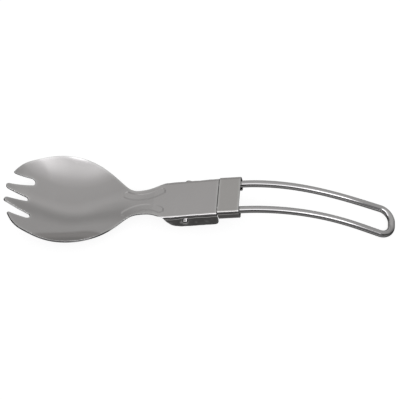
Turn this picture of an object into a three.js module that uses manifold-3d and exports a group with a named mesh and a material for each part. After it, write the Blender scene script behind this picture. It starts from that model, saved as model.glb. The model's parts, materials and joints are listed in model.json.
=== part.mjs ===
// Folding camping spork: a pressed sheet-steel head, a bent wire handle that pivots in the head's
// two ears, and a folded sleeve that slides along the wires to lock the handle open.
// Everything is drawn in the frame of the flat plate above the pivot: x = 0 on the pivot axis,
// z = 0 on the plate's top face, +x towards the handle's end. The last lines stand it on the table.
import * as THREE from "three";
import { mergeVertices } from "three/addons/utils/BufferGeometryUtils.js";
import Module from "manifold-3d";

const wasm = await Module();
wasm.setup();

// ---------------------------------------------------------------- sheet-metal head
const headSheet = 0.8;
const noseX = -77.6; // the pressed sheet is drawn a little past the tine tips, then trimmed
const overWidth = 1.13; // and a little past the rim
const bowlCuts = 50;

// Rim and floor of the bowl: [x, value], from tine tips to neck.
// The half width is fairest as a curve through its squares, because the bowl is near an ellipse.
const rimSquare = curveThrough(
  [
    [-77.6, 3.0],
    [-76, 7.2],
    [-72, 13.55],
    [-66, 18.35],
    [-58, 21.45],
    [-49, 21.9],
    [-40, 19.1],
    [-32, 13.5],
    [-26, 7.9],
    [-20, 6.1],
    [-14, 7.05],
    [-8.5, 9.45],
  ].map(([x, y]) => [x, y * y]),
);
const rimHalfWidth = (x) => Math.sqrt(rimSquare(x));
const rimHeight = curveThrough([
  [-78, 17.2],
  [-72, 14.4],
  [-66, 12.0],
  [-49, 6.4],
  [-40, 3.25],
  [-32, 0.5],
  [-26, -0.4],
  [-20, -0.3],
  [-14, 0],
]);
const floorHeight = curveThrough([
  [-78, 17.2],
  [-71, 10.6],
  [-66, 6.7],
  [-62, 4.0],
  [-57, 1.2],
  [-51, -1.0],
  [-45, -2.0],
  [-38, -2.0],
  [-31, -1.4],
  [-26, -0.9],
  [-20, -0.4],
  [-14, 0],
]);
const wallPower = curveThrough([
  [-66, 1.9],
  [-55, 2.05],
  [-30, 2.2],
  [-20, 2],
]);

// Two stiffening grooves curve through the neck, each a band along an arc.
const grooveCentre = new THREE.Vector2(-18.8, 18.6);
const grooveRadius = 15.9;
const grooveHalfWidth = 1.75;
const grooveWall = 0.6;
const grooveHalfAngle = THREE.MathUtils.degToRad(30);
const grooveDepth = 0.2;

// Tines, outermost first: [x, y, corner radius] along the front edge down to the centreline.
const tineCorners = [
  [-73.9, 10.0, 0.5],
  [-65.9, 10.3, 1.3],
  [-66.4, 7.55, 1.3],
  [-75.9, 4.4, 1.0],
  [-75.9, 2.35, 1.0],
  [-68.2, 0.95, 0.9],
];

// ---------------------------------------------------------------- channel under the plate
const plateHalfWidth = 9.65;
const plateFrontX = -13;
const plateRearX = 14.25;
const neckRows = 5; // between the plate's front and the grooves' ends
const foldRadius = 1.9; // outside
const flatCuts = 10; // across half the plate, half a fold and one ear
const foldCuts = 5;
const earCuts = 4;
const earLean = THREE.MathUtils.degToRad(3);
const earDepth = 6.95;
const earFrontX = -8.5;
const earRearRadius = 2.2;

// ---------------------------------------------------------------- wire handle
const wireRadius = 1.5;
const pivotZ = -3.42;
const pivotClearance = 0.08;
const stubEndY = 11.7;
const pivotBendRadius = 2.1;
const endBendRadius = 5.6;
const handleEnd = new THREE.Vector2(83.4, -31.2); // x, z of the cross-piece
const handleEndHalf = 6.4;
const wireHalfSpacing = curveThrough([
  [0, 6.6],
  [30, 6.6],
  [46, 6.35],
  [64, 6.08],
  [79, 6.4],
]);
const wireHeight = curveThrough([
  [0, pivotZ],
  [14.5, -2.48],
  [20, -2.25],
  [24, -2.25],
  [34, -3.43],
  [46, -6.87],
  [58, -12.58],
  [70, -20.63],
  [78, -26.95],
  [handleEnd.x, handleEnd.y],
]);

// ---------------------------------------------------------------- lock sleeve
const sleeveSheet = 0.7;
const sleeveFrontX = 14.72;
const sleeveLength = 9.2;
const sleeveHalfWidth = 9.5;
const sleeveTop = 0.77;
const sleeveHeight = 5.65;
const sleeveTopRadius = 1.9;
const sleeveLipRadius = 2.0;
const sleeveLipY = 5.3; // the lips end under the wires, so the sleeve is open below
const sleeveTilt = THREE.MathUtils.degToRad(2.48);

// ---------------------------------------------------------------- rest on the table
const restPitch = THREE.MathUtils.degToRad(12.947);

const steel = { metalness: 1, roughness: 0.3 };

/** Smooth cubic spline through [x, value] stations, held flat past the ends. */
function curveThrough(stations) {
  const last = stations.length - 1;
  const width = (i) => stations[i + 1][0] - stations[i][0];
  const slope = (i) => (stations[i + 1][1] - stations[i][1]) / width(i);
  const share = [0];
  const bend = [0];
  for (let i = 1; i < last; i++) {
    const pivot = 2 * (width(i - 1) + width(i)) - width(i - 1) * share[i - 1];
    share.push(width(i) / pivot);
    bend.push((6 * (slope(i) - slope(i - 1)) - width(i - 1) * bend[i - 1]) / pivot);
  }
  bend.push(0);
  for (let i = last - 1; i > 0; i--) bend[i] -= share[i] * bend[i + 1];
  return (x) => {
    if (x <= stations[0][0]) return stations[0][1];
    if (x >= stations[last][0]) return stations[last][1];
    let i = 0;
    while (x > stations[i + 1][0]) i++;
    const h = width(i);
    const a = (stations[i + 1][0] - x) / h;
    const b = 1 - a;
    const sag = ((a ** 3 - a) * bend[i] + (b ** 3 - b) * bend[i + 1]) * ((h * h) / 6);
    return a * stations[i][1] + b * stations[i + 1][1] + sag;
  };
}

function solidOf(geometry) {
  const bare = geometry.clone();
  bare.deleteAttribute("normal");
  bare.deleteAttribute("uv");
  const merged = mergeVertices(bare, 1e-4);
  return new wasm.Manifold(
    new wasm.Mesh({
      numProp: 3,
      vertProperties: merged.attributes.position.array,
      triVerts: new Uint32Array(merged.index.array),
    }),
  );
}

function geometryOf(solid) {
  const mesh = solid.getMesh();
  const indexed = new THREE.BufferGeometry();
  indexed.setAttribute("position", new THREE.BufferAttribute(mesh.vertProperties, 3));
  indexed.setIndex(new THREE.BufferAttribute(mesh.triVerts, 1));
  indexed.computeVertexNormals();
  return indexed;
}

function named(name, geometry, colour) {
  const mesh = new THREE.Mesh(
    geometry,
    new THREE.MeshStandardMaterial({ color: colour, ...steel }),
  );
  mesh.name = name;
  return mesh;
}

/** Appends corners [x, y, radius] to a shape, each rounded by an arc that meets both its edges. */
function addRounded(shape, corners) {
  corners.slice(1, -1).forEach(([x, y, r], i) => {
    const corner = new THREE.Vector2(x, y);
    const before = new THREE.Vector2(...corners[i].slice(0, 2)).sub(corner).normalize();
    const after = new THREE.Vector2(...corners[i + 2].slice(0, 2)).sub(corner).normalize();
    if (!r) {
      shape.lineTo(x, y);
      return;
    }
    const half = Math.acos(before.dot(after)) / 2;
    const enter = corner.clone().addScaledVector(before, r / Math.tan(half));
    const centre = before
      .clone()
      .add(after)
      .normalize()
      .multiplyScalar(r / Math.sin(half))
      .add(corner);
    const leave = corner.clone().addScaledVector(after, r / Math.tan(half));
    const from = Math.atan2(enter.y - centre.y, enter.x - centre.x);
    const to = Math.atan2(leave.y - centre.y, leave.x - centre.x);
    const clockwise = before.cross(after) > 0;
    shape.lineTo(enter.x, enter.y);
    shape.absarc(centre.x, centre.y, r, from, to, clockwise);
  });
}

/** Extrudes a shape drawn in x and y, upwards from z = low to z = high. */
function prism(shape, low, high, curveSegments = 8) {
  const options = { depth: high - low, bevelEnabled: false, curveSegments };
  return new THREE.ExtrudeGeometry(shape, options).translate(0, 0, low);
}

/** Extrudes a shape drawn in y and z along x, from x = start to x = end. */
function alongX(shape, start, end, curveSegments = 8) {
  const turn = new THREE.Matrix4().makeBasis(
    new THREE.Vector3(0, 1, 0),
    new THREE.Vector3(0, 0, 1),
    new THREE.Vector3(1, 0, 0),
  );
  return prism(shape, start, end, curveSegments).applyMatrix4(turn);
}

function grooveAt(x, y) {
  const fromCentre = new THREE.Vector2(x, Math.abs(y)).sub(grooveCentre);
  const angle = Math.abs(Math.atan2(fromCentre.x, -fromCentre.y));
  const past = Math.max(0, angle - grooveHalfAngle) * grooveRadius;
  const away = Math.hypot(past, fromCentre.length() - grooveRadius);
  return grooveDepth * (1 - THREE.MathUtils.smoothstep(away, grooveHalfWidth - grooveWall, grooveHalfWidth));
}

function sheetHeight(x, y) {
  const floor = floorHeight(x);
  const wall = Math.abs(y / rimHalfWidth(x)) ** wallPower(x);
  return floor + (rimHeight(x) - floor) * wall - grooveAt(x, y);
}

/** A point of the pressed face, or with below = 1 the point of its underside one sheet deeper. */
function pressedPoint(x, y, below) {
  const step = 0.02;
  const slopeX = (sheetHeight(x + step, y) - sheetHeight(x - step, y)) / (2 * step);
  const slopeY = (sheetHeight(x, y + step) - sheetHeight(x, y - step)) / (2 * step);
  const drop = new THREE.Vector3(slopeX, slopeY, -1).setLength(headSheet * below);
  return drop.add(new THREE.Vector3(x, y, sheetHeight(x, y)));
}

/** The plate's section at x: flat in the middle, then a fold and an ear on each side. */
function channelPoint(x, k, below) {
  const side = Math.sign(k);
  const across = Math.abs(k);
  const flat = plateHalfWidth - foldRadius;
  if (across <= flatCuts) return pressedPoint(x, (flat * k) / flatCuts, below);
  const bend = Math.min(1, (across - flatCuts) / foldCuts);
  const turn = (Math.PI / 2 - earLean) * bend;
  const radius = foldRadius - headSheet * below;
  const down = ((earDepth + 1) * Math.max(0, across - flatCuts - foldCuts)) / earCuts;
  return new THREE.Vector3(
    x,
    side * (flat + radius * Math.sin(turn) + down * Math.sin(earLean)),
    radius * Math.cos(turn) - foldRadius - down * Math.cos(earLean),
  );
}

/** Bowl, neck, plate and ears as one pressed sheet of even thickness, still untrimmed. */
function pressedSheet() {
  const halfCuts = flatCuts + foldCuts + earCuts;
  const row = 2 * halfCuts + 1;
  const rows = [];
  const bowlEndX = plateFrontX - 0.2;
  for (let i = 0; i <= bowlCuts; i++) {
    const x = THREE.MathUtils.lerp(noseX, bowlEndX, i / bowlCuts);
    const reach = rimHalfWidth(x) * overWidth;
    rows.push((k, below) => pressedPoint(x, (reach * k) / halfCuts, below));
  }
  for (let i = 0; i <= neckRows; i++) {
    const x = THREE.MathUtils.lerp(plateFrontX, earFrontX, i / neckRows);
    rows.push((k, below) => channelPoint(x, k, below));
  }
  rows.push((k, below) => channelPoint(plateRearX + 1, k, below));
  const positions = [];
  for (const below of [0, 1]) {
    for (const pointAt of rows) {
      for (let k = -halfCuts; k <= halfCuts; k++) positions.push(...pointAt(k, below));
    }
  }
  const layer = row * rows.length;
  const index = [];
  const quad = (a, b, c, d) => index.push(a, b, c, a, c, d);
  for (let i = 0; i + 1 < rows.length; i++) {
    for (let j = 0; j + 1 < row; j++) {
      const a = i * row + j;
      quad(a, a + row, a + row + 1, a + 1);
      quad(layer + a, layer + a + 1, layer + a + row + 1, layer + a + row);
    }
    const left = i * row;
    const right = left + row - 1;
    quad(left, layer + left, layer + left + row, left + row);
    quad(right, right + row, layer + right + row, layer + right);
  }
  for (let j = 0; j + 1 < row; j++) {
    const rear = layer - row + j;
    quad(j, j + 1, layer + j + 1, layer + j);
    quad(rear, layer + rear, layer + rear + 1, rear + 1);
  }
  const sheet = new THREE.BufferGeometry();
  sheet.setAttribute("position", new THREE.Float32BufferAttribute(positions, 3));
  sheet.setIndex(index);
  return solidOf(sheet);
}

/** Everything the plan view keeps: bowl, tines and neck, and the full width from the ears back. */
function planOutline() {
  const rim = [];
  for (let x = earFrontX; x > -73; x -= x < -64 ? 1.2 : 1.8) rim.push([x, rimHalfWidth(x), 0]);
  const wide = plateHalfWidth + 3;
  const half = [[plateRearX, wide, 0], [earFrontX, wide, 0], ...rim, ...tineCorners];
  const mirrored = half.map(([x, y, r]) => [x, -y, r]).reverse();
  const plan = new THREE.Shape();
  plan.moveTo(plateRearX, 0);
  addRounded(plan, [[plateRearX, 0], ...half, ...mirrored, [plateRearX, 0]]);
  plan.closePath();
  return plan;
}

/** Side view of what the ears keep: a swept front edge, a straight foot and a round rear corner. */
function earOutline() {
  const ear = new THREE.Shape();
  const rearX = plateRearX - earRearRadius;
  const footZ = earRearRadius - earDepth;
  ear.moveTo(noseX - 10, 40);
  ear.lineTo(noseX - 10, -12);
  ear.lineTo(plateFrontX - 1, -12);
  ear.lineTo(plateFrontX - 1, -1.45);
  ear.lineTo(earFrontX - 0.8, -1.45);
  ear.bezierCurveTo(-7.6, -2.6, -7.6, -6.3, -2.6, 0.27 - earDepth);
  ear.lineTo(rearX, -earDepth);
  ear.absarc(rearX, footZ, earRearRadius, -Math.PI / 2, 0, false);
  ear.lineTo(plateRearX, 40);
  ear.closePath();
  return ear;
}

function headGeometry() {
  const plan = solidOf(prism(planOutline(), -40, 60, 8));
  const sideView = solidOf(prism(earOutline(), -40, 40, 10).rotateX(Math.PI / 2));
  const holes = new THREE.CylinderGeometry(
    wireRadius + pivotClearance,
    wireRadius + pivotClearance,
    40,
    24,
  );
  return geometryOf(
    pressedSheet()
      .intersect(plan)
      .intersect(sideView)
      .subtract(solidOf(holes.translate(0, 0, pivotZ))),
  );
}

/** A path through given points, sampled exactly at them, so tight bends can have closer points. */
class PointPath extends THREE.Curve {
  constructor(points) {
    super();
    this.points = points;
  }

  getPoint(t) {
    const at = t * (this.points.length - 1);
    const i = Math.min(Math.floor(at), this.points.length - 2);
    return this.points[i].clone().lerp(this.points[i + 1], at - i);
  }

  getPointAt(t) {
    return this.getPoint(t);
  }

  getTangentAt(t) {
    const last = this.points.length - 1;
    const i = Math.round(t * last);
    const from = this.points[Math.max(i - 1, 0)];
    const to = this.points[Math.min(i + 1, last)];
    return to.clone().sub(from).normalize();
  }
}

/** One side of the wire, from the stub outside the ear to the middle of the cross-piece. */
function wireSide() {
  const points = [];
  const y0 = wireHalfSpacing(0);
  const bendY = y0 + pivotBendRadius;
  for (const y of [stubEndY, (stubEndY + bendY) / 2]) points.push(new THREE.Vector3(0, y, pivotZ));
  for (let i = 0; i <= 8; i++) {
    const turn = ((Math.PI / 2) * i) / 8;
    const x = pivotBendRadius * (1 - Math.cos(turn));
    points.push(new THREE.Vector3(x, bendY - pivotBendRadius * Math.sin(turn), wireHeight(x)));
  }
  for (let x = 5; x < 79; x += x < 14 || x > 70 ? 3 : 2.4) {
    points.push(new THREE.Vector3(x, wireHalfSpacing(x), wireHeight(x)));
  }
  const along = new THREE.Vector2(5.4, -4.25).normalize();
  for (let i = 0; i <= 9; i++) {
    const turn = ((Math.PI / 2) * i) / 9;
    const back = endBendRadius * (1 - Math.sin(turn));
    const y = handleEndHalf - endBendRadius * (1 - Math.cos(turn));
    points.push(new THREE.Vector3(handleEnd.x - along.x * back, y, handleEnd.y - along.y * back));
  }
  points.push(new THREE.Vector3(handleEnd.x, 0, handleEnd.y));
  return points;
}

function wireGeometry() {
  const side = wireSide();
  const other = side
    .slice(0, -1)
    .reverse()
    .map((p) => new THREE.Vector3(p.x, -p.y, p.z));
  const path = new PointPath([...side, ...other]);
  const round = new THREE.Shape();
  round.absarc(0, 0, wireRadius, 0, 2 * Math.PI, false);
  return new THREE.ExtrudeGeometry(round, {
    steps: path.points.length - 1,
    curveSegments: 8,
    extrudePath: path,
  });
}

/** The sleeve's section: closed on top, its two lips curled in under the wires. */
function sleeveSection() {
  const t = sleeveSheet;
  const w = sleeveHalfWidth;
  const bottom = -sleeveHeight;
  const right = [
    [w, 0, sleeveTopRadius],
    [w, bottom, sleeveLipRadius],
    [sleeveLipY, bottom, 0.2],
    [sleeveLipY, bottom + t, 0.2],
    [w - t, bottom + t, sleeveLipRadius - t],
    [w - t, -t, sleeveTopRadius - t],
  ];
  const left = right.map(([y, z, r]) => [-y, z, r]).reverse();
  const section = new THREE.Shape();
  section.moveTo(0, 0);
  addRounded(section, [[0, 0], ...right, ...left, [0, 0]]);
  section.closePath();
  return section;
}

function sleeveGeometry() {
  return alongX(sleeveSection(), 0, sleeveLength, 5)
    .rotateY(sleeveTilt)
    .translate(sleeveFrontX, 0, sleeveTop);
}

const plateFrame = new THREE.Group();
plateFrame.add(named("head", headGeometry(), 0xb9bab9));
plateFrame.add(named("wire_handle", wireGeometry(), 0xc4c4c5));
plateFrame.add(named("lock_sleeve", sleeveGeometry(), 0xb0afaa));
plateFrame.rotation.y = -restPitch;
const box = new THREE.Box3().setFromObject(plateFrame, true);
const centre = box.getCenter(new THREE.Vector3());
plateFrame.position.set(-centre.x, 0, -box.min.z);

const group = new THREE.Group();
group.add(plateFrame);

export default group;
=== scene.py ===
# Folding camping spork: a pressed head, a bent wire handle and a sliding lock sleeve.
import json
import math

import bmesh
import bpy
import numpy as np
from mathutils import Matrix, Vector, kdtree
from mathutils.geometry import delaunay_2d_cdt


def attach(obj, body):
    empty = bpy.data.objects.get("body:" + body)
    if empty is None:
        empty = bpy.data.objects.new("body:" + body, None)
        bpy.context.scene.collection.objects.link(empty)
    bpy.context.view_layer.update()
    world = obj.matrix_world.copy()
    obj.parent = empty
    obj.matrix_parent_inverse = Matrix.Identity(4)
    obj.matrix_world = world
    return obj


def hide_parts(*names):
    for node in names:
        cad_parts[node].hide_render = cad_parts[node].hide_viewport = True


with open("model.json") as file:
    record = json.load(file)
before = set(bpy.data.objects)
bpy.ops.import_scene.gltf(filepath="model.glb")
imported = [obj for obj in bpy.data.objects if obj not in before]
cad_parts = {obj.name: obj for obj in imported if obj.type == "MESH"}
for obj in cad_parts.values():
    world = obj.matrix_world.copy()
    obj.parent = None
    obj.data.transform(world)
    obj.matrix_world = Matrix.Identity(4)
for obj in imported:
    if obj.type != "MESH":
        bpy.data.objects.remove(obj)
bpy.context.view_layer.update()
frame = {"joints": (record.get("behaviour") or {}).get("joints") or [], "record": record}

# Everything is drawn in millimetres on the flat plate above the pivot: x towards the handle's end,
# y across, z up, with the pivot axis below x = 0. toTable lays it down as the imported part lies.
mm = 0.001
pivotDrop = 3.42
plateUp = next(m["axis"] for m in frame["record"]["mounts"] if m["name"] == "thumb_plate")
pivotAt = next(j["pos_m"] for j in frame["joints"] if j["name"] == "handle_fold")
restPitch = math.atan2(-plateUp[0], plateUp[2])
pitchTurn = np.array([
    [math.cos(restPitch), 0, -math.sin(restPitch)],
    [0, 1, 0],
    [math.sin(restPitch), 0, math.cos(restPitch)],
])


def toTable(points):
    return (np.asarray(points) - (0, 0, -pivotDrop)) @ pitchTurn.T * mm + pivotAt


def unit(v):
    v = np.asarray(v, float)
    return v / np.maximum(np.linalg.norm(v, axis=-1, keepdims=True), 1e-12)


# smooth natural curve through [x, value] stations, level past both ends
def curveThrough(stations):
    xs, ys = np.array(stations, float).T
    gap = np.diff(xs)
    slope = np.diff(ys) / gap
    last = len(xs) - 1
    grid = np.eye(last + 1)
    pull = np.zeros(last + 1)
    for i in range(1, last):
        grid[i, i - 1:i + 2] = gap[i - 1], 2 * (gap[i - 1] + gap[i]), gap[i]
        pull[i] = 6 * (slope[i] - slope[i - 1])
    bend = np.linalg.solve(grid, pull)

    def at(x):
        x = np.clip(x, xs[0], xs[-1])
        i = np.clip(np.searchsorted(xs, x, side="right") - 1, 0, last - 1)
        a = (xs[i + 1] - x) / gap[i]
        b = 1 - a
        sag = ((a ** 3 - a) * bend[i] + (b ** 3 - b) * bend[i + 1]) * gap[i] ** 2 / 6
        return a * ys[i] + b * ys[i + 1] + sag

    return at


def smoothStep(x, low, high):
    t = np.clip((x - low) / (high - low), 0, 1)
    return t * t * (3 - 2 * t)


# corners [x, y, radius] to points, each corner with a radius turned into an arc
def roundedPath(corners, arcStep=0.12):
    points = [corners[0][:2]]
    for before, corner, after in zip(corners, corners[1:-1], corners[2:]):
        here, radius = np.array(corner[:2], float), corner[2]
        if not radius:
            points.append(here)
            continue
        back = unit(np.array(before[:2]) - here)
        ahead = unit(np.array(after[:2]) - here)
        half = math.acos(np.clip(back @ ahead, -1, 1)) / 2
        centre = here + unit(back + ahead) * radius / math.sin(half)
        enter = here + back * radius / math.tan(half) - centre
        leave = here + ahead * radius / math.tan(half) - centre
        start = math.atan2(enter[1], enter[0])
        sweep = math.atan2(leave[1], leave[0]) - start
        sweep = (sweep + math.pi) % (2 * math.pi) - math.pi
        steps = max(3, int(abs(sweep) * radius / arcStep))
        for turn in start + sweep * np.arange(steps + 1) / steps:
            points.append(centre + radius * np.array([math.cos(turn), math.sin(turn)]))
    points.append(corners[-1][:2])
    return np.array([np.array(p, float) for p in points])


# a closed line cut into even steps
def evenLoop(points, step):
    closed = np.vstack([points, points[:1]])
    length = np.linalg.norm(np.diff(closed, axis=0), axis=1)
    closed = closed[np.r_[True, length > 1e-9]]
    along = np.r_[0, np.cumsum(length[length > 1e-9])]
    count = max(12, round(along[-1] / step))
    at = np.arange(count) * along[-1] / count
    return np.stack([np.interp(at, along, closed[:, k]) for k in (0, 1)], 1)


def insideLoops(points, loops):
    inside = np.zeros(len(points), bool)
    x, y = points[:, 0], points[:, 1]
    for loop in loops:
        for (x0, y0), (x1, y1) in zip(loop, np.roll(loop, -1, 0)):
            if y0 != y1:
                crosses = (y0 > y) != (y1 > y)
                inside ^= crosses & (x < (x1 - x0) * (y - y0) / (y1 - y0) + x0)
    return inside


def slopesOf(surface, flat, step=0.01):
    x, s = flat[:, 0], flat[:, 1]
    alongX = (surface(x + step, s) - surface(x - step, s)) / (2 * step)
    alongS = (surface(x, s + step) - surface(x, s - step)) / (2 * step)
    return alongX, alongS, unit(np.cross(alongX, alongS))


# A sheet-metal piece: surface(x, s) gives its outer face over a flat blank. The blank's edge loops
# run with the metal on their left, and every cut edge is rounded a little, as after tumbling.
def pressSheet(name, surface, loops, inner, thickness, edgeRound, edgeStep, finish):
    rings, flatRings, ringNormals = [], [], []
    quarter = np.radians([0, 22.5, 45, 67.5, 90])
    for loop in loops:
        loop = evenLoop(loop, edgeStep)
        alongX, alongS, up = slopesOf(surface, loop)
        here = surface(loop[:, 0], loop[:, 1])
        out = unit(np.cross(np.roll(here, -1, 0) - np.roll(here, 1, 0), up))
        # the same step inwards, measured on the flat blank
        pairs = ((alongX, alongX), (alongX, alongS), (alongS, alongS))
        xx, xs, ss = ((a * b).sum(1) for a, b in pairs)
        bx, bs = -(out * alongX).sum(1), -(out * alongS).sum(1)
        span = xx * ss - xs * xs
        inset = np.stack([(bx * ss - bs * xs) / span, (bs * xx - bx * xs) / span], 1)
        flat = loop + inset * edgeRound
        top = surface(flat[:, 0], flat[:, 1])
        topUp = slopesOf(surface, flat)[2]
        stack, normals = [top], [topUp]
        for turn in quarter[1:]:
            drop = edgeRound * (1 - math.cos(turn))
            stack.append(here - out * edgeRound * (1 - math.sin(turn)) - up * drop)
            normals.append(out * math.sin(turn) + up * math.cos(turn))
        for turn in quarter[:0:-1]:
            drop = thickness - edgeRound * (1 - math.cos(turn))
            stack.append(here - out * edgeRound * (1 - math.sin(turn)) - up * drop)
            normals.append(out * math.sin(turn) - up * math.cos(turn))
        stack.append(top - topUp * thickness)
        normals.append(-topUp)
        flatRings.append(flat)
        rings.append(stack)
        ringNormals.append(normals)

    edge = np.vstack(flatRings)
    near = kdtree.KDTree(len(edge))
    for i, (x, s) in enumerate(edge):
        near.insert((x, s, 0), i)
    near.balance()
    inner = inner[insideLoops(inner, flatRings)]
    reach = np.array([near.find((x, s, 0))[2] for x, s in inner])
    inner, reach = inner[reach > 0.6 * edgeStep], reach[reach > 0.6 * edgeStep]
    flat = np.vstack([edge, inner])
    sides, start = [], 0
    for ring in flatRings:
        count = len(ring)
        sides += [(start + i, start + (i + 1) % count) for i in range(count)]
        start += count
    outPoints, _, outFaces, origin, _, _ = delaunay_2d_cdt(
        [Vector(p) for p in flat], sides, [], 0, 1e-7
    )
    if len(outPoints) != len(flat):
        raise ValueError(f"{name}: the blank's edges cross")
    back = np.array([o[0] for o in origin])
    triangles = back[np.array(outFaces)]
    corner = flat[triangles]
    area = np.cross(corner[:, 1] - corner[:, 0], corner[:, 2] - corner[:, 0])
    triangles[area < 0] = triangles[area < 0][:, ::-1]
    triangles = triangles[(np.abs(area) > 1e-9) & insideLoops(corner.mean(1), flatRings)]

    points = surface(flat[:, 0], flat[:, 1])
    normal = slopesOf(surface, flat)[2]
    total = len(flat)
    coords = [points, points - normal * thickness]
    normals = [normal, -normal]
    worn = np.r_[np.full(len(edge), 0.85), np.exp(-((reach / 0.55) ** 2)) * 0.8]
    wear = [worn, worn]
    faces = [tuple(t) for t in triangles] + [tuple(total + t[::-1]) for t in triangles]
    start, free = 0, 2 * total
    for stack, turned in zip(rings, ringNormals):
        count = len(stack[0])
        upper = start + np.arange(count)
        for level in range(1, len(stack)):
            if level == len(stack) - 1:
                lower = total + start + np.arange(count)
            else:
                lower = free + np.arange(count)
                free += count
                coords.append(stack[level])
                normals.append(turned[level])
                wear.append(np.ones(count))
            after = np.roll(np.arange(count), -1)
            faces += list(zip(upper, lower, lower[after], upper[after]))
            upper = lower
        start += count
    mesh = meshFrom(name, np.vstack(coords), faces, np.vstack(normals))
    wearLayer = mesh.attributes.new("edgeWear", "FLOAT", "POINT")
    wearLayer.data.foreach_set("value", np.concatenate(wear).astype(np.float32))
    mesh.materials.append(finish)
    return addPiece(name, mesh)


def meshFrom(name, coords, faces, normals):
    mesh = bpy.data.meshes.new(name)
    mesh.from_pydata([Vector(p) for p in toTable(coords)], [], [tuple(map(int, f)) for f in faces])
    mesh.update()
    mesh.shade_smooth()
    mesh.normals_split_custom_set_from_vertices([Vector(n) for n in unit(normals) @ pitchTurn.T])
    return mesh


def addPiece(name, mesh):
    piece = bpy.data.objects.new(name, mesh)
    bpy.context.scene.collection.objects.link(piece)
    return piece


def gridOf(xs, ss):
    x, s = np.meshgrid(xs, ss)
    return np.stack([x.ravel(), s.ravel()], 1)


# Steel finishes. Three effects are shared by all the steels: fine marks that run one way, handling
# marks with a soft cloudiness, and bright wear along the edges.
effects = {
    "fineGrain": 4200,
    "broadGrain": 900,
    "broadShare": 0.5,
    "cloudSize": 95,
    # the three runs of scratches, as [way they run, fineness]
    "scratchRuns": [(0.5, 1144), (-1.1, 1342), (2.2, 1034)],
    "scratchThin": 0.035,
    "scratchCrest": 0.77,  # only noise above this is a scratch
    "wearPatch": 650,
    "wearSpread": (0.9, 0.35),
    "scratchRough": 0.1,
    "wearPolish": 0.06,
    "leastRough": 0.04,
    "scratchTint": 0.25,
    "bumpHeight": 0.02,
}


def newGroup(name, inputs, outputs):
    group = bpy.data.node_groups.new(name, "ShaderNodeTree")
    for title, kind, value in inputs:
        socket = group.interface.new_socket(title, in_out="INPUT", socket_type=kind)
        if value is not None:
            socket.default_value = value
    for title, kind in outputs:
        group.interface.new_socket(title, in_out="OUTPUT", socket_type=kind)
    return group, group.nodes.new("NodeGroupInput"), group.nodes.new("NodeGroupOutput")


def mathNode(tree, operation, first, second=None, third=None):
    node = tree.nodes.new("ShaderNodeMath")
    node.operation = operation
    for socket, value in zip(node.inputs, (first, second, third)):
        if value is None:
            continue
        if isinstance(value, (int, float)):
            socket.default_value = value
        else:
            tree.links.new(value, socket)
    return node.outputs[0]


def noiseNode(tree, vector, scale, detail, rough=0.5):
    node = tree.nodes.new("ShaderNodeTexNoise")
    node.inputs["Detail"].default_value = detail
    node.inputs["Roughness"].default_value = rough
    tree.links.new(vector, node.inputs["Vector"])
    if isinstance(scale, (int, float)):
        node.inputs["Scale"].default_value = scale
    else:
        tree.links.new(scale, node.inputs["Scale"])
    return node.outputs["Fac"]


def buildGrain():
    group, given, result = newGroup(
        "steel grain",
        [("Vector", "NodeSocketVector", None), ("Length", "NodeSocketFloat", 0.06),
         ("Scale", "NodeSocketFloat", 1.0)],
        [("Height", "NodeSocketFloat"), ("Streak", "NodeSocketFloat")],
    )
    stretch = group.nodes.new("ShaderNodeVectorMath")
    stretch.operation = "MULTIPLY"
    shape = group.nodes.new("ShaderNodeCombineXYZ")
    group.links.new(given.outputs["Length"], shape.inputs["X"])
    shape.inputs["Y"].default_value = 1
    shape.inputs["Z"].default_value = 1
    group.links.new(given.outputs["Vector"], stretch.inputs[0])
    group.links.new(shape.outputs[0], stretch.inputs[1])
    fineScale = mathNode(group, "MULTIPLY", given.outputs["Scale"], effects["fineGrain"])
    fine = noiseNode(group, stretch.outputs[0], fineScale, 4)
    broadScale = mathNode(group, "MULTIPLY", given.outputs["Scale"], effects["broadGrain"])
    broad = noiseNode(group, stretch.outputs[0], broadScale, 2)
    height = mathNode(group, "MULTIPLY_ADD", broad, effects["broadShare"], fine)
    group.links.new(height, result.inputs["Height"])
    group.links.new(broad, result.inputs["Streak"])
    return group


def buildHandling():
    group, given, result = newGroup(
        "handling marks",
        [("Vector", "NodeSocketVector", None), ("Amount", "NodeSocketFloat", 1.0)],
        [("Cloud", "NodeSocketFloat"), ("Scratch", "NodeSocketFloat")],
    )
    cloud = noiseNode(group, given.outputs["Vector"], effects["cloudSize"], 3, 0.55)
    cloud = mathNode(group, "SUBTRACT", cloud, 0.5)
    cloud = mathNode(group, "MULTIPLY", cloud, given.outputs["Amount"])
    lines = []
    for angle, scale in effects["scratchRuns"]:
        turn = group.nodes.new("ShaderNodeVectorRotate")
        turn.rotation_type = "Z_AXIS"
        turn.inputs["Angle"].default_value = angle
        group.links.new(given.outputs["Vector"], turn.inputs["Vector"])
        squeeze = group.nodes.new("ShaderNodeVectorMath")
        squeeze.operation = "MULTIPLY"
        squeeze.inputs[1].default_value = (effects["scratchThin"], 1, 1)
        group.links.new(turn.outputs[0], squeeze.inputs[0])
        noise = noiseNode(group, squeeze.outputs[0], scale, 1)
        lines.append(mathNode(group, "GREATER_THAN", noise, effects["scratchCrest"]))
    scratch = mathNode(group, "MAXIMUM", mathNode(group, "MAXIMUM", lines[0], lines[1]), lines[2])
    scratch = mathNode(group, "MULTIPLY", scratch, given.outputs["Amount"])
    group.links.new(cloud, result.inputs["Cloud"])
    group.links.new(scratch, result.inputs["Scratch"])
    return group


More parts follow.
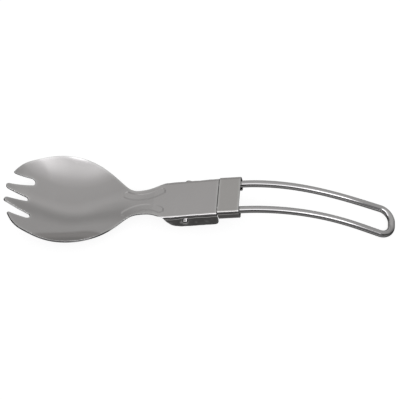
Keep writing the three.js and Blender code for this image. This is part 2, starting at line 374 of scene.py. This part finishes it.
def buildWear():
    group, given, result = newGroup(
        "edge wear",
        [("Edge", "NodeSocketFloat", 0.0), ("Vector", "NodeSocketVector", None)],
        [("Mask", "NodeSocketFloat")],
    )
    patch = noiseNode(group, given.outputs["Vector"], effects["wearPatch"], 3)
    broken = mathNode(group, "MULTIPLY_ADD", patch, *effects["wearSpread"])
    mask = mathNode(group, "MULTIPLY", given.outputs["Edge"], broken)
    limited = group.nodes.new("ShaderNodeClamp")
    group.links.new(mask, limited.inputs["Value"])
    group.links.new(limited.outputs[0], result.inputs["Mask"])
    return group


grainGroup = buildGrain()
handlingGroup = buildHandling()
wearGroup = buildWear()


# One steel: colour, gloss and the strength of its marks come from the piece's own dictionary.
def steelFinish(name, look, along="object"):
    material = bpy.data.materials.new(name)
    material.use_nodes = True
    tree = material.node_tree
    nodes, links = tree.nodes, tree.links
    shader = nodes["Principled BSDF"]
    shader.inputs["Metallic"].default_value = 1
    coords = nodes.new("ShaderNodeTexCoord")
    place = coords.outputs["Object"]
    grainPlace, pitch = place, restPitch
    if along == "wire":
        track = nodes.new("ShaderNodeAttribute")
        track.attribute_name = "wireTrack"
        grainPlace, pitch = track.outputs["Vector"], 0
    level = nodes.new("ShaderNodeMapping")
    level.inputs["Rotation"].default_value = (0, pitch, look.get("grainAngle", 0))
    links.new(grainPlace, level.inputs["Vector"])
    grain = nodes.new("ShaderNodeGroup")
    grain.node_tree = grainGroup
    grain.inputs["Length"].default_value = look["grainLength"]
    grain.inputs["Scale"].default_value = look["grainScale"]
    links.new(level.outputs[0], grain.inputs["Vector"])
    marks = nodes.new("ShaderNodeGroup")
    marks.node_tree = handlingGroup
    marks.inputs["Amount"].default_value = look["marks"]
    links.new(place, marks.inputs["Vector"])
    wear = nodes.new("ShaderNodeGroup")
    wear.node_tree = wearGroup
    edge = nodes.new("ShaderNodeAttribute")
    edge.attribute_name = "edgeWear"
    links.new(edge.outputs["Fac"], wear.inputs["Edge"])
    links.new(place, wear.inputs["Vector"])

    # gloss: cloudy and streaked in the open, polished on worn edges
    streak = mathNode(tree, "SUBTRACT", grain.outputs["Streak"], 0.5)
    streak = mathNode(tree, "MULTIPLY", streak, look["streak"])
    cloud = mathNode(tree, "MULTIPLY_ADD", marks.outputs["Cloud"], look["cloud"], look["roughness"])
    rough = mathNode(tree, "ADD", cloud, streak)
    rough = mathNode(tree, "MULTIPLY_ADD", marks.outputs["Scratch"], effects["scratchRough"], rough)
    rough = mathNode(tree, "MULTIPLY_ADD", wear.outputs["Mask"], -effects["wearPolish"], rough)
    rough = mathNode(tree, "MAXIMUM", rough, effects["leastRough"])
    links.new(rough, shader.inputs["Roughness"])

    # colour: the piece's given colour, a little uneven, lighter where it is worn; for most pieces the
    # steel's own, for the catch tab a painted shade
    blend = nodes.new("ShaderNodeMix")
    blend.data_type = "RGBA"
    blend.inputs["A"].default_value = (*look["colour"], 1)
    blend.inputs["B"].default_value = (*look["wornColour"], 1)
    tint = mathNode(tree, "MULTIPLY_ADD", marks.outputs["Cloud"], look["tint"], wear.outputs["Mask"])
    tint = mathNode(tree, "MULTIPLY_ADD", marks.outputs["Scratch"], effects["scratchTint"], tint)
    links.new(tint, blend.inputs["Factor"])
    links.new(blend.outputs["Result"], shader.inputs["Base Color"])

    bump = nodes.new("ShaderNodeBump")
    bump.inputs["Strength"].default_value = look["bump"]
    bump.inputs["Distance"].default_value = effects["bumpHeight"] * mm
    height = mathNode(tree, "MULTIPLY_ADD", marks.outputs["Scratch"], -1.0, grain.outputs["Height"])
    links.new(height, bump.inputs["Height"])
    links.new(bump.outputs[0], shader.inputs["Normal"])
    return material


print("camera and light")
view = {
    "aim": (-0.2, 3.08, 8.0),
    "azimuth": 6.54,  # degrees round from looking along +Y
    "elevation": 55.18,
    "roll": 2.35,
    "distance": 685.6,
    "lens": 143.8,
}


def addCamera():
    camera = bpy.data.cameras.new("camera")
    camera.lens = view["lens"]
    camera.sensor_width = 36
    camera.clip_start, camera.clip_end = 0.05, 20
    turn, rise = math.radians(view["azimuth"]), math.radians(view["elevation"])
    back = Vector((math.sin(turn) * math.cos(rise), -math.cos(turn) * math.cos(rise), math.sin(rise)))
    right = Vector((math.cos(turn), math.sin(turn), 0))
    up = back.cross(right)
    roll = math.radians(view["roll"])
    rolledRight = right * math.cos(roll) - up * math.sin(roll)
    rolledUp = right * math.sin(roll) + up * math.cos(roll)
    holder = bpy.data.objects.new("camera", camera)
    axes = Matrix((rolledRight, rolledUp, back)).transposed().to_4x4()
    eye = Vector(view["aim"]) + back * view["distance"]
    holder.matrix_world = Matrix.Translation(eye * mm) @ axes
    bpy.context.scene.collection.objects.link(holder)
    bpy.context.scene.camera = holder


# A soft tent of light. Brightness goes by the angle up from the far side, over the top and down
# the near side: first the tent's cloth, then the soft box that hangs past the top.
light = {
    "cloth": [
        # below the near side, with one lit slot
        (-180, 0.03), (-168, 0.04), (-162, 0.06), (-155, 0.5), (-147, 0.45), (-137, 0.09),
        (-131, 0.075), (-124, 0.1), (-116, 0.2), (-102, 0.18), (-90, 0.06),
        # below the far side
        (-55, 0.05), (-42, 0.16), (-24, 0.17), (-16, 0.43),
        # the far side and the top
        (20, 0.44), (34, 0.36), (40, 0.37), (52, 0.52), (59, 0.51), (66, 0.48), (90, 0.5), (118, 0.48),
        # the near side, dark
        (136, 0.2), (141, 0.04), (154, 0.02), (180, 0.03),
    ],
    "softBox": [
        (88, 0), (97, 0.08), (101, 0.14), (107, 0.27), (112, 0.36), (117, 0.42), (121, 0.46),
        (125, 0.6), (127, 1.7), (129, 2.5), (134, 2.5), (138, 0),
    ],
    # the same, from the tines' side (-1) to the handle's side (+1)
    "clothAcross": [(-1, 0.35), (-0.8, 0.8), (-0.6, 1), (0.6, 1), (0.8, 0.85), (1, 0.4)],
    "softBoxAcross": [
        (-0.74, 0), (-0.68, 1.1), (-0.2, 0.95), (0, 1), (0.15, 1.25), (0.25, 1.45),
        (0.35, 1.9), (0.416, 2.5), (0.419, 1.65), (0.47, 1.9), (0.6, 2.6), (0.7, 0),
    ],
    "clothColour": (1.0, 0.99, 0.985),
    "softBoxColour": (0.985, 0.975, 1.0),
    "floorGlow": 0.86,
    "floorColour": (0.3, 0.3, 0.3),
    "floorSize": 3.0,
}


# a number read off a line of [place, value] dots
def dottedLine(tree, place, dots, low, high):
    node = tree.nodes.new("ShaderNodeFloatCurve")
    line = node.mapping.curves[0].points
    most = max(value for _, value in dots)
    for k, (spot, value) in enumerate(dots):
        at = ((spot - low) / (high - low), value / most)
        if k < 2:
            line[k].location = at
        else:
            line.new(*at)
    for dot in line:
        dot.handle_type = "VECTOR"
    node.mapping.extend = "HORIZONTAL"
    node.mapping.update()
    share = mathNode(tree, "MULTIPLY_ADD", place, 1 / (high - low), -low / (high - low))
    tree.links.new(share, node.inputs["Value"])
    return mathNode(tree, "MULTIPLY", node.outputs[0], most)


def addLight():
    world = bpy.data.worlds.new("light tent")
    bpy.context.scene.world = world
    world.use_nodes = True
    tree = world.node_tree
    nodes, links = tree.nodes, tree.links
    nodes.clear()
    coords = nodes.new("ShaderNodeTexCoord")
    split = nodes.new("ShaderNodeSeparateXYZ")
    links.new(coords.outputs["Generated"], split.inputs[0])
    turn = mathNode(tree, "ARCTAN2", split.outputs["Z"], split.outputs["Y"])
    degrees = mathNode(tree, "MULTIPLY", turn, 180 / math.pi)
    glow = []
    for part in ("cloth", "softBox"):
        over = dottedLine(tree, degrees, light[part], -180, 180)
        across = dottedLine(tree, split.outputs["X"], light[part + "Across"], -1, 1)
        lamp = nodes.new("ShaderNodeBackground")
        lamp.inputs["Color"].default_value = (*light[part + "Colour"], 1)
        links.new(mathNode(tree, "MULTIPLY", over, across), lamp.inputs["Strength"])
        glow.append(lamp.outputs[0])
    both = nodes.new("ShaderNodeAddShader")
    links.new(glow[0], both.inputs[0])
    links.new(glow[1], both.inputs[1])
    plain = nodes.new("ShaderNodeBackground")
    plain.inputs["Color"].default_value = (1, 1, 1, 1)
    path = nodes.new("ShaderNodeLightPath")
    mix = nodes.new("ShaderNodeMixShader")
    links.new(path.outputs["Is Camera Ray"], mix.inputs[0])
    links.new(both.outputs[0], mix.inputs[1])
    links.new(plain.outputs[0], mix.inputs[2])
    output = nodes.new("ShaderNodeOutputWorld")
    links.new(mix.outputs[0], output.inputs["Surface"])
    bpy.context.scene.view_settings.view_transform = "Standard"


def addFloor():
    half = light["floorSize"] / 2
    mesh = bpy.data.meshes.new("floor")
    corners = [(-half, -half, 0), (half, -half, 0), (half, half, 0), (-half, half, 0)]
    mesh.from_pydata(corners, [], [(0, 1, 2, 3)])
    material = bpy.data.materials.new("pale floor")
    material.use_nodes = True
    shader = material.node_tree.nodes["Principled BSDF"]
    shader.inputs["Base Color"].default_value = (*light["floorColour"], 1)
    shader.inputs["Roughness"].default_value = 1
    shader.inputs["Specular IOR Level"].default_value = 0
    shader.inputs["Emission Color"].default_value = (1, 1, 1, 1)
    shader.inputs["Emission Strength"].default_value = light["floorGlow"]
    mesh.materials.append(material)
    floor = addPiece("floor", mesh)
    floor.visible_glossy = False


addCamera()
addLight()
addFloor()

print("head")
head = {
    "sheet": 0.8,
    "edgeRound": 0.11,
    # half width of the rim as [x, half width], from the tines to the ears
    "rim": [
        (-77.6, 3.0), (-76, 5.0), (-72, 13.55), (-66, 18.35), (-58, 21.45), (-49, 21.9),
        (-40, 19.1), (-32, 13.5), (-26, 7.9), (-20, 6.1), (-14, 7.05), (-8.5, 9.45),
    ],
    "rimHeight": [
        (-78, 17.2), (-72, 14.4), (-66, 12.0), (-49, 6.4), (-40, 3.25), (-32, 0.5),
        (-26, -0.4), (-20, -0.3), (-14, 0),
    ],
    "floorHeight": [
        (-78, 17.2), (-71, 10.6), (-66, 6.7), (-62, 4.0), (-57, 1.2), (-51, -1.0),
        (-45, -2.0), (-38, -2.0), (-31, -1.4), (-26, -0.9), (-20, -0.4), (-14, 0),
    ],
    "wallPower": [(-66, 1.9), (-55, 2.05), (-30, 2.2), (-20, 2)],
    # [x, y, corner radius] of the tines, outermost first
    "tines": [
        (-73.9, 10.0, 0.5), (-65.9, 10.3, 1.3), (-66.4, 7.55, 1.3),
        (-75.9, 4.4, 1.0), (-75.9, 2.35, 1.0), (-68.2, 0.95, 0.9),
    ],
    "grooveCentre": (-18.8, 18.6),
    "grooveRadius": 15.9,
    "grooveHalfWidth": 1.75,
    "grooveWall": 0.6,
    "grooveHalfAngle": math.radians(30),
    "grooveDepth": 0.21,
    "plateHalfWidth": 9.65,
    "plateFront": -13,
    "plateRear": 14.25,
    "foldRadius": 1.9,
    "earLean": math.radians(3),
    "earDepth": 6.95,
    "earFront": [  # distance round the fold, then x
        (8.1, -11.2), (9.0, -9.7), (10.0, -8.85), (11.5, -8.24), (13.1, -7.19), (14.6, -5.52),
        (15.45, -2.6),
    ],
    "rimSpan": (-11.4, -73.6),  # where the outline follows the rim
    "earCorner": 2.2,
    "pivotHole": 1.58,
    "dimpleDepth": 0.22,
    "dimpleWidth": (1.8, 1.5),
    "dimpleRise": 0.5,
    "earDents": 0.065,
    "dentWaves": (1.15, 2.4),
    "sheetWave": (5.5, 0.006),  # length and height of the whole sheet's unevenness
    "edgeStep": 0.3,
    "look": {
        "colour": (0.612, 0.602, 0.597), "wornColour": (0.78, 0.78, 0.775), "roughness": 0.1,
        "grainLength": 0.05, "grainScale": 1.0, "streak": 0.05, "cloud": 0.16, "tint": 0.5,
        "marks": 0.8, "bump": 0.12,
    },
}
rimSquare = curveThrough([(x, y * y) for x, y in head["rim"]])
rimHeight = curveThrough(head["rimHeight"])
floorHeight = curveThrough(head["floorHeight"])
wallPower = curveThrough(head["wallPower"])
foldStart = head["plateHalfWidth"] - head["foldRadius"]
foldTurn = math.pi / 2 - head["earLean"]
foldEnd = foldStart + head["foldRadius"] * foldTurn
foldDrop = head["foldRadius"] * (1 - math.cos(foldTurn))


def rimHalfWidth(x):
    return np.sqrt(np.maximum(rimSquare(x), 1))


def grooveAt(x, y):
    dx, dy = x - head["grooveCentre"][0], np.abs(y) - head["grooveCentre"][1]
    past = np.maximum(0, np.abs(np.arctan2(dx, -dy)) - head["grooveHalfAngle"]) * head["grooveRadius"]
    away = np.hypot(past, np.hypot(dx, dy) - head["grooveRadius"])
    wide = head["grooveHalfWidth"]
    return head["grooveDepth"] * (1 - smoothStep(away, wide - head["grooveWall"], wide))


def onEar(z):
    return foldEnd + (-z - foldDrop) / math.cos(head["earLean"])


# height of hand-made unevenness, a few crossing waves
def unevenness(x, s, wave):
    return (
        np.sin(x / wave + 0.7 * s / wave) + 0.8 * np.sin(1.7 * s / wave - 0.9 * x / wave + 1.3)
        + 0.6 * np.sin(2.3 * x / wave + 0.4 + np.sin(1.1 * s / wave))
    ) / 2.4


def bareHead(x, s):
    across, side = np.abs(s), np.sign(s)
    radius, lean = head["foldRadius"], head["earLean"]
    floor = floorHeight(x)
    wall = (across / rimHalfWidth(x)) ** wallPower(x)
    bowl = floor + (rimHeight(x) - floor) * wall - grooveAt(x, s)
    turn = np.clip((across - foldStart) / radius, 0, foldTurn)
    down = np.maximum(0, across - foldEnd)
    folded = (x > head["plateFront"]) & (across > foldStart)
    y = np.where(folded, side * (foldStart + radius * np.sin(turn) + down * math.sin(lean)), s)
    z = np.where(folded, radius * np.cos(turn) - radius - down * math.cos(lean), bowl)
    return np.stack([x, y, z], -1)


def headSurface(x, s):
    x, s = np.broadcast_arrays(np.asarray(x, float), np.asarray(s, float))
    flat = np.stack([x, s], 1)
    across = np.abs(s)
    onSide = smoothStep(across, foldStart, foldEnd) * (x > head["plateFront"])
    wideX, wideS = head["dimpleWidth"]
    pivotRow = onEar(-pivotDrop) - head["dimpleRise"]
    dimple = np.exp(-((x / wideX) ** 2) - ((across - pivotRow) / wideS) ** 2)
    shortWave, longWave = head["dentWaves"]
    dents = unevenness(x, s, shortWave) * head["earDents"]
    dents = dents + unevenness(x, s, longWave) * head["earDents"]
    lift = onSide * (dents - head["dimpleDepth"] * dimple)
    wave, height = head["sheetWave"]
    lift = lift + unevenness(x, s, wave) * height
    return bareHead(x, s) + slopesOf(bareHead, flat)[2] * lift[:, None]


def headOutline():
    rear, foot = head["plateRear"], onEar(-head["earDepth"])
    frontAt = curveThrough(head["earFront"])
    earLow, earHigh = head["earFront"][-1][0], head["earFront"][0][0]
    front = [(float(frontAt(s)), s, 0) for s in np.arange(earLow, earHigh, -0.2)]
    rim = [(x, float(rimHalfWidth(x)), 0) for x in np.arange(*head["rimSpan"], -0.6)]
    half = [(rear, foot, head["earCorner"]), *front, *rim, *head["tines"]]
    mirrored = [(x, -y, r) for x, y, r in reversed(half)]
    corners = [(rear, 0, 0), *half, *mirrored, (rear, 0, 0)]
    return roundedPath(corners)[:-1]


def pivotHole(side):
    turn = np.linspace(0, 2 * math.pi, 48, endpoint=False)
    return np.stack([
        head["pivotHole"] * np.cos(turn),
        side * onEar(-pivotDrop) - head["pivotHole"] * np.sin(turn),
    ], 1)


# points inside the blank: coarse in the bowl, fine in the grooves, finest round the folds
def headGrid():
    foldCuts = foldStart + (foldEnd - foldStart) * np.linspace(0, 1, 11)
    ear = np.arange(foldEnd + 0.2, foldEnd + 6.3, 0.28)
    inner = [
        gridOf(np.arange(-77, -36.4, 0.62), np.arange(-21.7, 21.8, 0.62)),
        gridOf(np.arange(-36, -9.6, 0.3), np.arange(-18, 18.01, 0.3)),
        gridOf(np.arange(-9.4, 14.2, 0.6), np.arange(-8.1, 8.11, 0.6)),
    ]
    for side in (-1, 1):
        inner.append(gridOf(np.arange(-9.4, 14.2, 0.3), side * foldCuts))
        inner.append(gridOf(np.arange(-9.4, 14.2, 0.28), side * ear))
    return np.vstack(inner)


headFinish = steelFinish("satin pressed steel", head["look"])
headPiece = pressSheet(
    "sporkHead", headSurface, [headOutline(), pivotHole(1), pivotHole(-1)],
    headGrid(), head["sheet"], head["edgeRound"], head["edgeStep"], headFinish,
)
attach(headPiece, "head")
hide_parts("head")

print("wire handle")
wire = {
    "radius": 1.5,
    "sides": 40,
    "step": 0.45,
    "stubEnd": 10.75,
    "stubRound": 0.15,
    "stubDome": 2.3,  # radius of the domed end
    "domeSteps": (0.15, 0.18, 0.2, 0.22, 0.24, 0.2),
    "pivotBend": 2.1,
    "endBend": 5.6,
    "end": (83.4, -31.2),  # x and z of the cross-piece
    "endHalf": 6.4,
    "halfSpacing": [(0, 6.6), (30, 6.6), (46, 6.35), (64, 6.08), (79, 6.4)],
    "height": [
        (0, -3.42), (14.5, -2.48), (20, -2.25), (24, -2.25), (34, -3.43),
        (46, -6.87), (58, -12.58), (70, -20.63), (78, -26.95), (83.4, -31.2),
    ],
    "look": {
        "colour": (0.65, 0.645, 0.645), "wornColour": (0.8, 0.8, 0.8), "roughness": 0.04,
        "grainLength": 0.02, "grainScale": 0.5, "streak": 0.05, "cloud": 0.06, "tint": 0.4,
        "marks": 0.5, "bump": 0.06,
    },
}


# one side of the wire, from its stub outside the ear to the middle of the cross-piece
def wireSide():
    spacing, height = curveThrough(wire["halfSpacing"]), curveThrough(wire["height"])
    bend, endBend = wire["pivotBend"], wire["endBend"]
    bendY = float(spacing(0)) + bend
    # a ring close behind the end keeps the shading of the stub's side straight
    stub = [wire["stubEnd"], wire["stubEnd"] - 1.3 * wire["stubRound"]]
    stub.extend(np.linspace(wire["stubEnd"] - 0.4, bendY, 7)[:-1])
    points = [(0, y, -pivotDrop) for y in stub]
    for turn in np.linspace(0, math.pi / 2, 14):
        x = bend * (1 - math.cos(turn))
        points.append((x, bendY - bend * math.sin(turn), float(height(x))))
    endX, endZ = wire["end"]
    ahead = unit(np.array(wire["end"]) - wire["height"][-2])
    lastX = endX - ahead[0] * endBend
    for x in np.arange(bend + wire["step"], lastX - 0.2, wire["step"]):
        points.append((x, float(spacing(x)), float(height(x))))
    for turn in np.linspace(0, math.pi / 2, 20):
        short = endBend * (1 - math.sin(turn))
        y = wire["endHalf"] - endBend * (1 - math.cos(turn))
        points.append((endX - ahead[0] * short, y, endZ - ahead[1] * short))
    return np.array(points)


def buildWireTree(finish):
    tree = bpy.data.node_groups.new("wire on its path", "GeometryNodeTree")
    for title, kind, direction in (
        ("Geometry", "NodeSocketGeometry", "INPUT"),
        ("Radius", "NodeSocketFloat", "INPUT"),
        ("Sides", "NodeSocketInt", "INPUT"),
        ("Geometry", "NodeSocketGeometry", "OUTPUT"),
    ):
        tree.interface.new_socket(title, in_out=direction, socket_type=kind)
    nodes, links = tree.nodes, tree.links
    given, result = nodes.new("NodeGroupInput"), nodes.new("NodeGroupOutput")
    circle = nodes.new("GeometryNodeCurvePrimitiveCircle")
    links.new(given.outputs["Radius"], circle.inputs["Radius"])
    links.new(given.outputs["Sides"], circle.inputs["Resolution"])
    # where a point lies round the wire and along it, for the drawing marks
    roundMark = nodes.new("GeometryNodeStoreNamedAttribute")
    roundMark.data_type = "FLOAT_VECTOR"
    roundMark.inputs["Name"].default_value = "roundWire"
    position = nodes.new("GeometryNodeInputPosition")
    links.new(circle.outputs["Curve"], roundMark.inputs["Geometry"])
    links.new(position.outputs[0], roundMark.inputs["Value"])
    alongMark = nodes.new("GeometryNodeStoreNamedAttribute")
    alongMark.data_type = "FLOAT"
    alongMark.inputs["Name"].default_value = "alongWire"
    distance = nodes.new("GeometryNodeSplineParameter")
    links.new(given.outputs["Geometry"], alongMark.inputs["Geometry"])
    links.new(distance.outputs["Length"], alongMark.inputs["Value"])
    sweep = nodes.new("GeometryNodeCurveToMesh")
    sweep.inputs["Fill Caps"].default_value = True
    links.new(alongMark.outputs["Geometry"], sweep.inputs["Curve"])
    links.new(roundMark.outputs["Geometry"], sweep.inputs["Profile Curve"])
    smooth = nodes.new("GeometryNodeSetShadeSmooth")
    links.new(sweep.outputs["Mesh"], smooth.inputs["Geometry"])
    real = nodes.new("GeometryNodeRealizeInstances")
    links.new(smooth.outputs["Geometry"], real.inputs["Geometry"])
    painted = nodes.new("GeometryNodeSetMaterial")
    painted.inputs["Material"].default_value = finish
    links.new(real.outputs["Geometry"], painted.inputs["Geometry"])
    links.new(painted.outputs["Geometry"], result.inputs["Geometry"])
    return tree


def sweepWire(name, points, finish):
    curve = bpy.data.curves.new(name + "Path", "CURVE")
    curve.dimensions = "3D"
    spline = curve.splines.new("POLY")
    spline.points.add(len(points) - 1)
    for spot, place in zip(spline.points, toTable(points)):
        spot.co = (*place, 1)
    path = addPiece(name + "Path", curve)
    tree = buildWireTree(finish)
    modifier = path.modifiers.new("wire", "NODES")
    modifier.node_group = tree
    sockets = {s.name: s.identifier for s in tree.interface.items_tree if s.in_out == "INPUT"}
    modifier[sockets["Radius"]] = wire["radius"] * mm
    modifier[sockets["Sides"]] = wire["sides"]
    bpy.context.view_layer.update()
    graph = bpy.context.evaluated_depsgraph_get()
    mesh = bpy.data.meshes.new_from_object(path.evaluated_get(graph), depsgraph=graph)
    mesh.name = name
    bpy.data.objects.remove(path)
    work = bmesh.new()
    work.from_mesh(mesh)
    caps = [f for f in work.faces if len(f.verts) > 4]
    rims = [e for f in caps for e in f.edges]
    bmesh.ops.bevel(
        work, geom=rims, offset=wire["stubRound"] * mm, segments=2, profile=0.5, affect="EDGES",
    )
    # each end rises in rings to a shallow dome
    dome, reach = wire["stubDome"], wire["radius"] - wire["stubRound"]
    for inward in wire["domeSteps"]:
        rise = math.sqrt(dome**2 - (reach - inward) ** 2) - math.sqrt(dome**2 - reach**2)
        caps = [f for f in work.faces if len(f.verts) > 4]
        bmesh.ops.inset_individual(work, faces=caps, thickness=inward * mm, depth=rise * mm)
        reach -= inward
    caps = [f for f in work.faces if len(f.verts) > 4]
    bmesh.ops.poke(work, faces=caps)
    bmesh.ops.recalc_face_normals(work, faces=work.faces)
    work.to_mesh(mesh)
    work.free()
    mesh.shade_smooth()
    roundWire = np.zeros(len(mesh.vertices) * 3, np.float32)
    mesh.attributes["roundWire"].data.foreach_get("vector", roundWire)
    alongWire = np.zeros(len(mesh.vertices), np.float32)
    mesh.attributes["alongWire"].data.foreach_get("value", alongWire)
    track = np.column_stack([alongWire, roundWire.reshape(-1, 3)[:, :2]]).astype(np.float32)
    layer = mesh.attributes.new("wireTrack", "FLOAT_VECTOR", "POINT")
    layer.data.foreach_set("vector", track.ravel())
    for spare in ("roundWire", "alongWire"):
        mesh.attributes.remove(mesh.attributes[spare])
    return addPiece(name, mesh)


wireFinish = steelFinish("bright drawn wire", wire["look"], along="wire")
halfPath = wireSide()
wirePath = np.vstack([halfPath, halfPath[::-1] * (1, -1, 1)])
wirePiece = sweepWire("wireHandle", wirePath, wireFinish)
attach(wirePiece, "handle")
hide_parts("wire_handle")

print("lock sleeve")
sleeve = {
    "sheet": 0.7,
    "edgeRound": 0.16,
    "front": 14.72,
    "length": 9.2,
    "halfWidth": 9.5,
    "top": 0.77,
    "height": 5.65,
    "topRadius": 1.9,
    "lipRadius": 2.0,
    "lipEnd": 5.3,
    "cornerRadius": 0.5,
    "tilt": math.radians(2.48),
    "sheetWave": (4.5, 0.008),
    "edgeStep": 0.18,
    "look": {
        "colour": (0.585, 0.575, 0.56), "wornColour": (0.76, 0.76, 0.75), "roughness": 0.13,
        "grainLength": 0.05, "grainScale": 1.0, "streak": 0.05, "cloud": 0.16, "tint": 0.5,
        "marks": 1.0, "bump": 0.12, "grainAngle": math.pi / 2,
    },
}


# the section as [length, radius of the bend that ends it], from the middle of the top to a lip
sleeveRuns = [
    (sleeve["halfWidth"] - sleeve["topRadius"], sleeve["topRadius"]),
    (sleeve["height"] - sleeve["topRadius"] - sleeve["lipRadius"], sleeve["lipRadius"]),
    (sleeve["halfWidth"] - sleeve["lipRadius"] - sleeve["lipEnd"], 0),
]
sleeveSpan = sum(run + radius * math.pi / 2 for run, radius in sleeveRuns)


# walks the section: each run goes straight, then turns a quarter
def sleeveSection(s):
    y, z, used = np.zeros_like(s), np.zeros_like(s), 0
    for turns, (run, radius) in enumerate(sleeveRuns):
        ahead = turns * math.pi / 2
        straight = np.clip(s - used, 0, run if radius else None)
        y, z = y + straight * math.cos(ahead), z - straight * math.sin(ahead)
        used += run
        if radius:
            bend = np.clip((s - used) / radius, 0, math.pi / 2)
            y = y + radius * (np.sin(ahead + bend) - math.sin(ahead))
            z = z + radius * (np.cos(ahead + bend) - math.cos(ahead))
            used += radius * math.pi / 2
    return y, z


def sleeveSurface(x, s):
    x, s = np.broadcast_arrays(np.asarray(x, float), np.asarray(s, float))
    y, z = sleeveSection(np.abs(s))
    wave, height = sleeve["sheetWave"]
    y, z = np.sign(s) * y, z + unevenness(x, s, wave) * height
    turned = np.stack([
        x * math.cos(sleeve["tilt"]) + z * math.sin(sleeve["tilt"]),
        y,
        z * math.cos(sleeve["tilt"]) - x * math.sin(sleeve["tilt"]),
    ], -1)
    return turned + (sleeve["front"], 0, sleeve["top"])


rear, lip, nick = sleeve["length"], sleeveSpan, sleeve["cornerRadius"]
sleeveLoop = roundedPath([
    (0, 0, 0), (0, -lip, nick), (rear, -lip, nick), (rear, lip, nick), (0, lip, nick), (0, 0, 0),
], 0.08)[:-1]
sleeveGrid = gridOf(np.arange(0.3, rear - 0.1, 0.35), np.arange(-lip, lip, 0.16))
sleeveFinish = steelFinish("dull sleeve steel", sleeve["look"])
sleevePiece = pressSheet(
    "lockSleeve", sleeveSurface, [sleeveLoop], sleeveGrid,
    sleeve["sheet"], sleeve["edgeRound"], sleeve["edgeStep"], sleeveFinish,
)
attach(sleevePiece, "sleeve")
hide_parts("lock_sleeve")

print("catch tab")
# a short tab bent down from under the sleeve's front edge, between the wires and below the plate; its
# dark colour is painted shade, so the narrow gap between the plate's end and the sleeve's front edge
# reads as a dark line
tab = {
    "sheet": 0.45,
    "halfWidth": 4.7,
    # height along the tab as [x, z]: low under the plate, then up to the sleeve's top
    "line": [(13.5, -1.1), (14.9, -1.1), (15.7, -0.85), (16.6, -0.4), (17.4, -0.17), (19.4, -0.2)],
    "cornerRadius": 0.6,
    "edgeRound": 0.1,
    "edgeStep": 0.2,
    "look": {
        # colour and wornColour here are painted shade for the gap above the tab, darker than the steel
        # itself
        "colour": (0.2, 0.195, 0.19), "wornColour": (0.4, 0.39, 0.38), "roughness": 0.3,
        "grainLength": 0.05, "grainScale": 1.0, "streak": 0.1, "cloud": 0.2, "tint": 0.5,
        "marks": 1.0, "bump": 0.12, "grainAngle": math.pi / 2,
    },
}
# the tab's finish carries that painted shade
tabShadeFinish = steelFinish("tab steel painted dark as gap shade", tab["look"])
tabHeight = curveThrough(tab["line"])


def tabSurface(x, s):
    x, s = np.broadcast_arrays(np.asarray(x, float), np.asarray(s, float))
    return np.stack([x, s, tabHeight(x)], -1)


def makeTab():
    near, far, wide, nick = tab["line"][0][0], tab["line"][-1][0], tab["halfWidth"], tab["cornerRadius"]
    edge = roundedPath([
        (near, 0, 0), (near, -wide, nick), (far, -wide, nick),
        (far, wide, nick), (near, wide, nick), (near, 0, 0),
    ], 0.08)[:-1]
    inner = gridOf(np.arange(near + 0.3, far - 0.2, 0.25), np.arange(-wide + 0.3, wide - 0.2, 0.35))
    return pressSheet(
        "catchTab", tabSurface, [edge], inner,
        tab["sheet"], tab["edgeRound"], tab["edgeStep"], tabShadeFinish,
    )


tabPiece = makeTab()
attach(tabPiece, "sleeve")

print("sizes")
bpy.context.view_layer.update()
for piece in (headPiece, wirePiece, sleevePiece, tabPiece):
    print(piece.name, len(piece.data.polygons), "faces")
